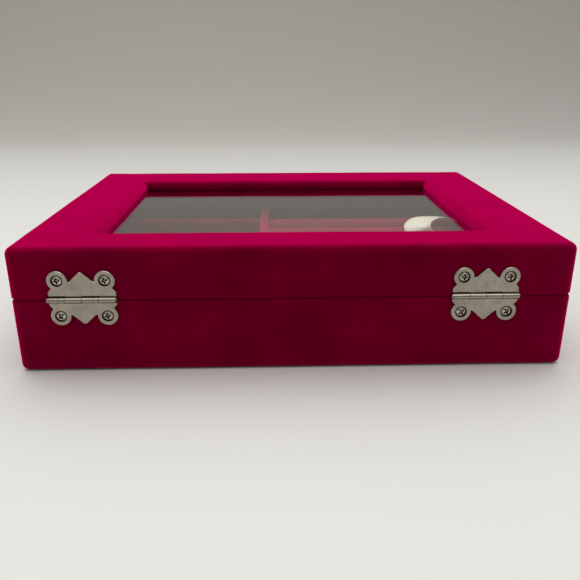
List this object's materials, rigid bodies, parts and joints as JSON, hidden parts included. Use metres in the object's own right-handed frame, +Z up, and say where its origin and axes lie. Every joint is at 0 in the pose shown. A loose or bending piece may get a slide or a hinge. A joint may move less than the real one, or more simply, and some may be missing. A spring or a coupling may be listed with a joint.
{
  "type": "jewelry box",
  "caption": "Low velvet-covered jewelry box with a hinged glass-window lid, a clasp hook, ring rolls and open compartments.",
  "frame": {"origin": "middle of the flat underside", "axes": "+X to the right seen from the clasp side, +Y towards the hinges, +Z up"},
  "size_m": [0.2, 0.155, 0.0469],
  "materials": {
    "velvet": "raspberry velvet with a short nap",
    "roll_velvet": "raspberry velvet over soft foam",
    "ribbon": "cream woven ribbon",
    "fibreboard": "raw fibreboard",
    "bottom_paper": "black textured paper",
    "glass": "clear polished",
    "nickel": "bright nickel plate, lightly brushed",
    "screw_steel": "nickel-plated cross-head"
  },
  "bodies": {
    "base": {"base_wrap": "velvet", "base_board_front": "fibreboard", "base_board_back": "fibreboard", "base_board_left": "fibreboard", "base_board_right": "fibreboard", "base_bottom_board": "fibreboard", "base_bottom_cover": "bottom_paper", "base_floor_lining": "velvet", "base_lining_front": "velvet", "base_lining_back": "velvet", "base_lining_left": "velvet", "base_lining_right": "velvet", "divider_long": "velvet", "divider_cross_1": "velvet", "divider_cross_2": "velvet", "divider_cross_3": "velvet", "ring_tray_board": "velvet", "ring_tray_end_wall": "velvet", "ring_roll_1": "roll_velvet", "ring_roll_2": "roll_velvet", "ring_roll_3": "roll_velvet", "ring_roll_4": "roll_velvet", "ring_roll_5": "roll_velvet", "ring_roll_6": "roll_velvet", "ribbon_stay": "ribbon", "hinge_left_base_leaf": "nickel", "hinge_right_base_leaf": "nickel", "hinge_left_pin": "nickel", "hinge_right_pin": "nickel", "hinge_screws_base": "screw_steel", "latch_base_plate": "nickel", "latch_stud": "nickel", "latch_screws_base": "screw_steel"},
    "lid": {"lid_wrap": "velvet", "lid_wall_front": "fibreboard", "lid_wall_back": "fibreboard", "lid_wall_left": "fibreboard", "lid_wall_right": "fibreboard", "lid_rail_front": "fibreboard", "lid_rail_back": "fibreboard", "lid_rail_left": "fibreboard", "lid_rail_right": "fibreboard", "glass_pane": "glass", "glass_strip_front": "velvet", "glass_strip_back": "velvet", "glass_strip_left": "velvet", "glass_strip_right": "velvet", "lid_lining_front": "velvet", "lid_lining_back": "velvet", "lid_lining_left": "velvet", "lid_lining_right": "velvet", "hinge_left_lid_leaf": "nickel", "hinge_right_lid_leaf": "nickel", "hinge_screws_lid": "screw_steel", "latch_lid_plate": "nickel", "latch_pivot_rivet": "nickel", "latch_screws_lid": "screw_steel"},
    "hook": {"latch_hook": "nickel"}
  },
  "joints": [
    {"name": "lid_hinge", "type": "hinge", "parent": "base", "child": "lid", "pos_m": [0, 0.07635, 0.0283], "axis": [-1, 0, 0], "range_deg": [0, 100], "deforming": ["ribbon_stay"]},
    {"name": "latch_swing", "type": "hinge", "parent": "lid", "child": "hook", "pos_m": [-0.005, -0.0765, 0.0374], "axis": [0, -1, 0], "range_deg": [-45, 28]}
  ]
}
